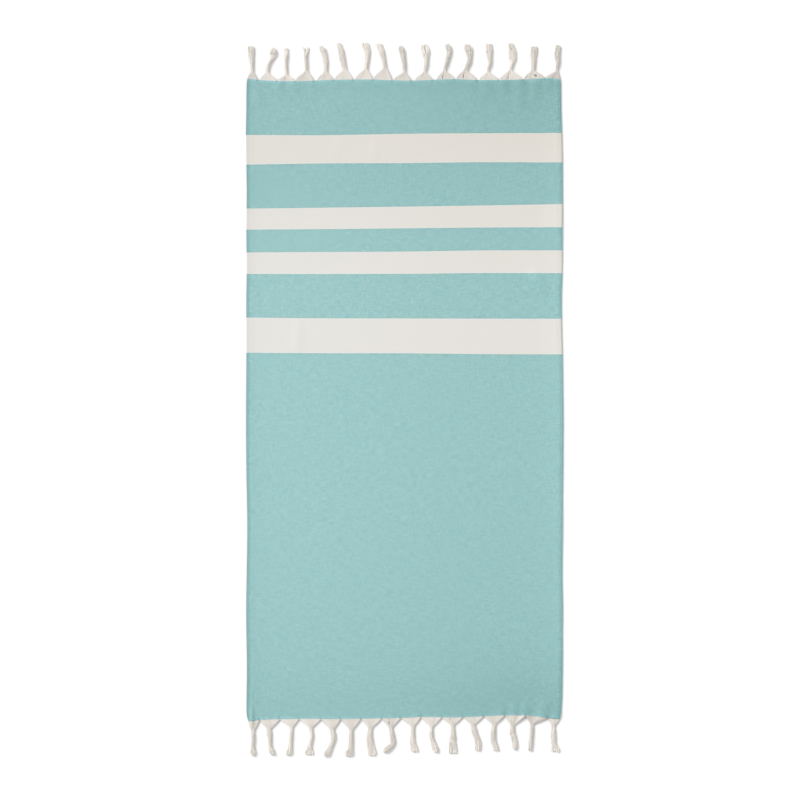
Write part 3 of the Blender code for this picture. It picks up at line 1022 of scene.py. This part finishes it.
# %% The fan of a tassel
NECK_SOFTNESS = 0.22  # share of the fan over which it curves into the cord
FAN_RISE = 0.0008  # how much a fan is raised halfway to its neck
Fringe = namedtuple("Fringe",
                    "name node end outward tassels seed left_curve right_curve fan_tone")


def fan_weight(along, fan, curve):
    """1 where the yarns leave the cloth, 0 from just past the neck on."""
    t = (along / fan) ** curve
    if t < 1 - NECK_SOFTNESS:
        return 1 - t
    return max(1 + NECK_SOFTNESS - t, 0.0) ** 2 / (4 * NECK_SOFTNESS)


def root_height(x, y):
    """Height of the middle of the cloth's end."""
    return crease_height(x, y) + wave_height(x, y) + end_lift(0.0) + CLOTH_THICKNESS / 2


print("fan's weight halfway to its neck:", fan_weight(0.5, 1.0, 1.0))

# %% One yarn of a tassel
YARN_RADIUS = 0.00062
FLUFF = 0.3  # how much thicker a yarn gets where its end is loose
FAN_YARN = 0.54  # radius of a yarn in the fan, as a share of the yarns' pitch
ROOT_YARN = 0.5  # and inside the cloth's end
ROOT_JITTER = 0.1  # unevenness of the places in the cloth, as a share of the pitch
RIM_RADIUS = 1.5  # the outermost yarns of a fan are drawn into thicker strands
RIM_SHADE = 0.80  # and are painted greyer, as shade along a fan's edges
TONE_SPREAD = 0.04
MOST_SHORTER = 0.045  # share of its length by which a yarn may be too short
STRAY = 0.0010  # how far a loose end may stray to a side
Yarn = namedtuple("Yarn", "across above x y z curve root_radius fan_radius fan_tone "
                  "tone shorter stray")


def yarn_in(tassel, fringe, number, across, above, rng):
    """A yarn's place in the cord and in the cloth's end, and what is uneven about it."""
    pitch = (tassel.right - tassel.left) / CORD_YARNS
    x = tassel.left + (number + 0.5 + rng.uniform(-ROOT_JITTER, ROOT_JITTER)) * pitch
    y = end_at(x, fringe.end)
    share = number / (CORD_YARNS - 1)
    on_rim = number in (0, CORD_YARNS - 1)
    return Yarn(
        across, above, x, y, root_height(x, y),
        curve=fringe.left_curve + (fringe.right_curve - fringe.left_curve) * share,
        root_radius=pitch * ROOT_YARN,
        fan_radius=pitch * FAN_YARN * (RIM_RADIUS if on_rim else 1.0),
        fan_tone=fringe.fan_tone * (RIM_SHADE if on_rim else 1.0),
        tone=tassel.tone * rng.uniform(1 - TONE_SPREAD, 1 + TONE_SPREAD),
        shorter=rng.uniform(0.0, MOST_SHORTER),
        stray=rng.uniform(-STRAY, STRAY))


# %% A yarn's way through the fan and the cord
TWIST_END = LOOSE_FROM + 0.06  # share of the length at which the cord stops turning
STRAY_FROM = 0.80
HEADING_STEP = 0.02
YarnPoint = namedtuple("YarnPoint", "place radius tone")


def heading_at(tassel, along):
    """Direction of a tassel's middle line, as an angle from the length of the towel."""
    before = max(along - HEADING_STEP, 0.0)
    after = min(along + HEADING_STEP, 1.0)
    sway = middle_at(tassel, after) - middle_at(tassel, before)
    return math.atan2(sway, (after - before) * tassel.length)


def place_in_cord(tassel, fringe, yarn, half_turns, along):
    """X, Y and Z of a yarn where it is part of the cord."""
    section = section_at(tassel, along)
    turn = math.pi * half_turns * ease((along - NECK_AT) / (TWIST_END - NECK_AT))
    side = yarn.across * math.cos(turn) - yarn.above * math.sin(turn)
    up = yarn.across * math.sin(turn) + yarn.above * math.cos(turn)
    side *= section.width / 2 - YARN_RADIUS - section.gap / 2
    up *= section.height / 2 - YARN_RADIUS
    side += math.copysign(section.gap / 2, yarn.across * math.cos(turn))
    side += yarn.stray * ease((along - STRAY_FROM) / (1 - STRAY_FROM))
    heading = heading_at(tassel, along)
    middle_y = end_at((tassel.left + tassel.right) / 2, fringe.end)
    x = middle_at(tassel, along) + side * math.cos(heading)
    y = middle_y + fringe.outward * (along * tassel.length - side * math.sin(heading))
    return x, y, section.height / 2 + up


def yarn_point(tassel, fringe, yarn, half_turns, along):
    """A point of a yarn: between its place in an open fan and its place in the cord."""
    weight = fan_weight(along, tassel.fan, yarn.curve)
    cord_x, cord_y, cord_z = place_in_cord(tassel, fringe, yarn, half_turns, along)
    fan_y = yarn.y + fringe.outward * along * tassel.length
    x = weight * yarn.x + (1 - weight) * cord_x
    y = weight * fan_y + (1 - weight) * cord_y
    z = weight * yarn.z + (1 - weight) * cord_z + FAN_RISE * 4 * weight * (1 - weight)
    cord_radius = YARN_RADIUS * (1 + FLUFF * ease((along - BELLY_AT) / (END_AT - BELLY_AT)))
    radius = weight * yarn.fan_radius + (1 - weight) * cord_radius
    # the fans are painted darker than the cords, as shade
    tone = yarn.tone * (weight * yarn.fan_tone + 1 - weight)
    return YarnPoint((pushed_aside(x, y), y, max(z, radius)), radius, tone)


# %% Paths of one tassel's yarns
FAN_STATIONS = 12
CORD_STATIONS = 23
FAN_END = 1.3 * NECK_AT  # past the neck of every fan
STATIONS = ([FAN_END * i / FAN_STATIONS for i in range(FAN_STATIONS)]
            + [FAN_END + (1 - FAN_END) * i / CORD_STATIONS for i in range(CORD_STATIONS + 1)])
ROOT_DEPTH = 0.0015  # how far a yarn reaches into the cloth's end
HALF_TURNS = (1, 2, 2)  # most cords make two half turns


def tassel_yarns(tassel, fringe, rng):
    """The paths of all yarns of a tassel, as lists of points."""
    half_turns = rng.choice(HALF_TURNS) * rng.choice((-1, 1))
    paths = []
    for number, (across, above) in enumerate(cord_layout()):
        yarn = yarn_in(tassel, fringe, number, across, above, rng)
        root = (yarn.x, yarn.y - fringe.outward * ROOT_DEPTH, yarn.z)
        path = [YarnPoint(root, yarn.root_radius, yarn.tone * yarn.fan_tone)]
        for along in STATIONS:
            along = min(along, 1 - yarn.shorter)
            path.append(yarn_point(tassel, fringe, yarn, half_turns, along))
        paths.append(path)
    return paths


print("each yarn has", len(STATIONS) + 1, "points")

# %% Paths of a whole fringe
def chain_mesh(name, chains):
    """A mesh of bare edges that join the places of each chain."""
    places = []
    edges = []
    for chain in chains:
        first = len(places)
        places += chain
        edges += [(i, i + 1) for i in range(first, len(places) - 1)]
    mesh = bpy.data.meshes.new(name)
    mesh.from_pydata(places, edges, [])
    return mesh


def fringe_paths(fringe):
    """One chain for each yarn, with its thickness and its tone at every point."""
    rng = random.Random(fringe.seed)
    paths = [path for tassel in fringe.tassels for path in tassel_yarns(tassel, fringe, rng)]
    mesh = chain_mesh(fringe.name, [[point.place for point in path] for path in paths])
    points = [point for path in paths for point in path]
    for name, values in (("thickness", [point.radius for point in points]),
                         ("tone", [point.tone for point in points])):
        mesh.attributes.new(name, "FLOAT", "POINT").data.foreach_set("value", values)
    return mesh


# %% [markdown]
# ## From paths to yarns
# Geometry Nodes turn each chain of edges into a curve and sweep a small ring along it, as large
# as the path's thickness says. On the way the tree notes how far along the yarn and where around
# it each point is, and the yarn's material draws its twist from those two.

# %% Geometry nodes: yarns from paths
def store(geometry, name, data_type, value):
    """Keeps a value on every point, under a name that a material can read."""
    return fed_node("GeometryNodeStoreNamedAttribute",
                    {"Geometry": geometry, "Name": name, "Value": value},
                    data_type=data_type, domain="POINT").outputs["Geometry"]


def curves_from(chains):
    return fed_node("GeometryNodeMeshToCurve", {"Mesh": chains}).outputs["Curve"]


def finish_tree(geometry, material, result):
    """Shades the result smooth, makes instances real and gives them their material."""
    for kind, inputs in (("SetShadeSmooth", {}), ("RealizeInstances", {}),
                         ("SetMaterial", {"Material": material})):
        node = fed_node("GeometryNode" + kind, {"Geometry": geometry, **inputs})
        geometry = node.outputs["Geometry"]
    feed(geometry, result["Geometry"])


def yarn_tree():
    tree, given, result = new_tree(
        "yarns_from_paths", "Geometry",
        {"Geometry": "Geometry", "Sides": "Int", "Material": "Material"},
        {"Geometry": "Geometry"})
    length = add_node(tree, "GeometryNodeSplineParameter").outputs["Length"]
    curve = store(curves_from(given["Geometry"]), "along", "FLOAT", length)
    ring = fed_node("GeometryNodeCurvePrimitiveCircle",
                    {"Radius": 1.0, "Resolution": given["Sides"]}).outputs["Curve"]
    position = add_node(tree, "GeometryNodeInputPosition").outputs["Position"]
    profile = store(ring, "around", "FLOAT_VECTOR", position)
    thickness = add_node(tree, "GeometryNodeInputNamedAttribute", {"Name": "thickness"},
                         data_type="FLOAT").outputs["Attribute"]
    sweep = fed_node("GeometryNodeCurveToMesh", {
        "Curve": curve, "Profile Curve": profile, "Scale": thickness, "Fill Caps": True})
    finish_tree(sweep.outputs["Mesh"], given["Material"], result)
    return tree


yarns_from_paths = yarn_tree()
print("tree", yarns_from_paths.name, "has", len(yarns_from_paths.nodes), "nodes")

# %% Running a tree on a piece
def grow(piece, tree, values):
    """Runs a geometry tree on a piece and keeps the result as its plain mesh."""
    modifier = piece.modifiers.new(tree.name, "NODES")
    modifier.node_group = tree
    for socket in tree.interface.items_tree:
        if socket.name in values:
            modifier[socket.identifier] = values[socket.name]
    evaluated = piece.evaluated_get(bpy.context.evaluated_depsgraph_get())
    mesh = bpy.data.meshes.new_from_object(evaluated)
    mesh.name = piece.name
    piece.modifiers.remove(modifier)
    piece.data = mesh
    print(piece.name, "has", triangle_count(piece), "triangles")


# %% [markdown]
# ## Undyed yarn
# The warp yarn is two strands spun together, so a shallow spiral runs along it. The bump follows
# the yarn's own coordinates, and the spiral's grooves are painted darker as shade. Each yarn has
# its own tone, and handling has left it a little greyer in patches. The fans are painted darker
# than their cords, and the outermost yarns of a fan darker still, as shade.

# %% Material: undyed yarn
YARN_SPIN_PITCH = 0.0042
YARN_COLOR = linear(239, 234, 227)
# painted shade in the grooves of the yarn's spiral
YARN_GROOVE_SHADE = linear(226, 220, 212)
GROOVE_TO = 0.6  # height of the ridges from which a yarn has its full colour
WEAR_SIZE = 0.006
WEAR = 0.12  # spread of the brightness from patch to patch
FIBRE_SIZE = 0.00035
FIBRE_HEIGHT = 0.4  # relief of the fibres, as a share of the spiral's


def attribute(tree, name):
    return add_node(tree, "ShaderNodeAttribute", attribute_type="GEOMETRY",
                    attribute_name=name).outputs


def object_patches(tree, size, stretch=1.0):
    """Patches in a piece's own coordinates, which may be longer along Y."""
    place = add_node(tree, "ShaderNodeTexCoord").outputs["Object"]
    return patches(place, (size, size * stretch, size))


def spin_ridges(tree):
    """1 on the strands of a two-strand yarn, and 0 between them."""
    around = separate(attribute(tree, "around")["Vector"])
    cosine, sine = around["X"], around["Y"]
    double_cosine = calculate("SUBTRACT", times(cosine, cosine), times(sine, sine))
    double_sine = times(cosine, sine, 2.0)
    phase = times(attribute(tree, "along")["Fac"], 2 * math.pi / YARN_SPIN_PITCH)
    wave = calculate("ADD", times(double_cosine, calculate("COSINE", phase)),
                     times(double_sine, calculate("SINE", phase)))
    return scaled(wave, 0.5, 0.5)


def yarn_look():
    material, tree, shader = new_look("undyed_yarn", roughness=0.95, sheen=0.15)
    ridges = spin_ridges(tree)
    color = blend_colors(graded(ridges, 0.0, GROOVE_TO), YARN_GROOVE_SHADE, YARN_COLOR)
    wear = scaled(object_patches(tree, WEAR_SIZE), WEAR, 1 - WEAR / 2)
    brightness = times(attribute(tree, "tone")["Fac"], wear)
    feed(shade(color, brightness), shader.inputs["Base Color"])
    fibres = object_patches(tree, FIBRE_SIZE)
    height = calculate("ADD", ridges, times(fibres, FIBRE_HEIGHT))
    add_bump(shader, height, distance=0.0001, strength=0.6)
    return material


undyed_yarn = yarn_look()
print("material", undyed_yarn.name, "has", len(undyed_yarn.node_tree.nodes), "nodes")

# %% Both fringes
YARN_SIDES = 5
# The fans are painted darker than their cords as shade, at the plain end more than at the striped
# end.
FRINGES = (
    Fringe("fringe_yarns_top", "fringe_top", "striped", 1, STRIPED_TASSELS, 5,
           left_curve=1.5, right_curve=1.15, fan_tone=0.94),
    Fringe("fringe_yarns_bottom", "fringe_bottom", "plain", -1, PLAIN_TASSELS, 9,
           left_curve=1.0, right_curve=1.0, fan_tone=0.87),
)
fringe_pieces = []
for fringe in FRINGES:
    piece = add_object(fringe.name, fringe_paths(fringe))
    grow(piece, yarns_from_paths, {"Sides": YARN_SIDES, "Material": undyed_yarn})
    fringe_pieces.append(piece)

# %% [markdown]
# ## Hem stitches
# A lockstitch shows as a row of short threads, each diving into the cloth at both ends. A long
# thin ball half sunk in the cloth looks like one. Geometry Nodes set them out along the seam at
# an even pitch, turned to its direction, with a little unevenness in their length.

# %% Seam paths
SEAM_STEP = 0.006
SEAM_MARGIN = 0.0015


def seam_paths():
    """A chain of places along each hem's seam, on the top and on the underside."""
    length = CLOTH_LENGTH - 2 * SEAM_MARGIN
    steps = round(length / SEAM_STEP)
    chains = []
    for across in (SEAM_AT, CLOTH_WIDTH - SEAM_AT):
        places = [cloth_point(across, SEAM_MARGIN + length * i / steps) for i in range(steps + 1)]
        chains.append([(x, y, top) for x, y, underside, top in places])
        chains.append([(x, y, underside) for x, y, underside, top in places])
    return chains


hem_stitches = add_object("hem_stitches", chain_mesh("hem_stitches", seam_paths()))
print("seams have", len(hem_stitches.data.vertices), "points")

# %% Geometry nodes: stitches along a path
BALL_SIZE = {"Segments": 6, "Rings": 4, "Radius": 1.0}
LEAST_HALF = 0.42  # half a stitch, as a share of the stitches' length
MOST_HALF = 0.52


def stitch_tree():
    tree, given, result = new_tree(
        "stitches_on_path", "Geometry",
        {"Geometry": "Geometry", "Pitch": "Float", "Length": "Float",
         "Thread Radius": "Float", "Seed": "Int", "Material": "Material"},
        {"Geometry": "Geometry"})
    seams = curves_from(given["Geometry"])
    points = fed_node("GeometryNodeResampleCurve",
                      {"Curve": seams, "Length": given["Pitch"]}, mode="LENGTH")
    ball = add_node(tree, "GeometryNodeMeshUVSphere", BALL_SIZE)
    tangent = add_node(tree, "GeometryNodeInputTangent").outputs["Tangent"]
    turn = fed_node("FunctionNodeAlignRotationToVector", {"Vector": tangent}, axis="X")
    # the Random Value node has a set of sockets for each kind of value: these are the floats'
    half = fed_node("FunctionNodeRandomValue",
                    {2: LEAST_HALF, 3: MOST_HALF, "Seed": given["Seed"]}).outputs[1]
    radius = given["Thread Radius"]
    size = fed_node("ShaderNodeCombineXYZ",
                    {"X": times(given["Length"], half), "Y": radius, "Z": radius})
    stitches = fed_node("GeometryNodeInstanceOnPoints", {
        "Points": points.outputs["Curve"], "Instance": ball.outputs["Mesh"],
        "Rotation": turn.outputs["Rotation"], "Scale": size.outputs["Vector"]})
    finish_tree(stitches.outputs["Instances"], given["Material"], result)
    return tree


stitches_on_path = stitch_tree()
print("tree", stitches_on_path.name, "has", len(stitches_on_path.nodes), "nodes")

# %% Material: sewing thread
STITCH_PITCH = 0.0036
STITCH_LENGTH = 0.0032
THREAD_RADIUS = 0.00021
STITCH_SEED = 4
THREAD_COLOR = linear(168, 200, 198)
TWIST_SIZE = 0.0004
TWIST_SPAN = (0.3, 0.7)
THREAD_SHADE_AND_HIGHLIGHT = (0.88, 1.08)  # painted shade between the thread's strands, and lighter on them


def thread_look():
    material, tree, shader = new_look("sewing_thread", roughness=0.7, sheen=0.05)
    twist = object_patches(tree, TWIST_SIZE, stretch=2.0)
    brightness = graded(twist, *TWIST_SPAN, *THREAD_SHADE_AND_HIGHLIGHT)
    feed(shade(THREAD_COLOR, brightness), shader.inputs["Base Color"])
    add_bump(shader, twist, distance=0.00008, strength=0.6)
    return material


grow(hem_stitches, stitches_on_path, {
    "Pitch": STITCH_PITCH, "Length": STITCH_LENGTH, "Thread Radius": THREAD_RADIUS,
    "Seed": STITCH_SEED, "Material": thread_look()})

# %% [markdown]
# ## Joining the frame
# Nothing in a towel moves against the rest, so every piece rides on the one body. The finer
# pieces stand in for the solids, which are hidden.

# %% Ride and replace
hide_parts("towel_cloth")
for piece, fringe in zip(fringe_pieces, FRINGES):
    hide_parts(fringe.node)
for piece in (woven_panel, hem_stitches, *fringe_pieces):
    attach(piece, "root")

# %% [markdown]
# ## Floor, light and camera
# The towel lies on a white studio floor and is seen from straight above through a long lens.
# One soft key light stands to the upper left, so each tassel has a lit side and a short shadow
# to its lower right. An even pale sky fills the shadows.

# %% Floor
FLOOR_SIZE = 40.0
FLOOR_DROP = 0.0003  # keeps the floor clear of the cloth's underside
FLOOR_COLOR = (0.93, 0.93, 0.93)
GRAIN_SIZE = 0.4
GRAIN_SPAN = (0.2, 0.8)  # values of the patches between which the floor changes
GRAIN = 0.005  # how much lighter or darker the floor is in places


def floor_look():
    material, tree, shader = new_look("studio_floor", roughness=0.9, sheen=0.0)
    brightness = graded(object_patches(tree, GRAIN_SIZE), *GRAIN_SPAN, 1 - GRAIN, 1 + GRAIN)
    feed(shade(FLOOR_COLOR, brightness), shader.inputs["Base Color"])
    return material


def floor_mesh():
    bm = bmesh.new()
    bmesh.ops.create_grid(bm, x_segments=1, y_segments=1, size=FLOOR_SIZE / 2)
    bmesh.ops.translate(bm, verts=bm.verts, vec=(0.0, 0.0, -FLOOR_DROP))
    mesh = bpy.data.meshes.new("floor")
    bm.to_mesh(mesh)
    bm.free()
    return mesh


floor = add_object("floor", floor_mesh(), floor_look())
print("floor", FLOOR_SIZE, "m wide")

# %% Light
SKY_COLOR = (1.0, 1.0, 1.0, 1.0)
SKY_BRIGHTNESS = 0.64
KEY_ENERGY = 2.48
KEY_HEIGHT = 37.0  # degrees above the floor
KEY_HEADING = -40.0  # direction in which shadows fall, degrees from +X
KEY_SOFTNESS = 24.0  # degrees across
KEY_DISTANCE = 3.0  # only for finding it in the scene: a sun has no place


def add_key_light():
    height = math.radians(KEY_HEIGHT)
    heading = math.radians(KEY_HEADING)
    direction = Vector((math.cos(height) * math.cos(heading),
                        math.cos(height) * math.sin(heading), -math.sin(height)))
    lamp = bpy.data.lights.new("key_light", "SUN")
    lamp.energy = KEY_ENERGY
    lamp.angle = math.radians(KEY_SOFTNESS)
    light = add_object("key_light", lamp)
    light.rotation_euler = direction.to_track_quat("-Z", "Y").to_euler()
    light.location = -KEY_DISTANCE * direction
    return light


def add_sky():
    sky = bpy.data.worlds.new("pale_sky")
    sky.use_nodes = True
    background = sky.node_tree.nodes["Background"]
    background.inputs["Color"].default_value = SKY_COLOR
    background.inputs["Strength"].default_value = SKY_BRIGHTNESS
    bpy.context.scene.world = sky


key_light = add_key_light()
add_sky()
bpy.context.scene.view_settings.view_transform = "Standard"
print("key light at", [round(value, 2) for value in key_light.location])

# %% Camera
VIEW_WIDTH = 1.7696  # metres across the picture, at the floor
VIEW_CENTRE = (-0.00995, 0.0011)
CAMERA_HEIGHT = 6.0
SENSOR_WIDTH = 36.0
FARTHEST_SEEN = 100.0


def add_camera():
    lens = bpy.data.cameras.new("camera")
    lens.sensor_width = SENSOR_WIDTH
    lens.lens = SENSOR_WIDTH * CAMERA_HEIGHT / VIEW_WIDTH
    lens.clip_end = FARTHEST_SEEN
    camera = add_object("camera", lens)
    camera.location = (*VIEW_CENTRE, CAMERA_HEIGHT)
    bpy.context.scene.camera = camera
    return camera


camera = add_camera()
print("lens", round(camera.data.lens, 1), "mm")
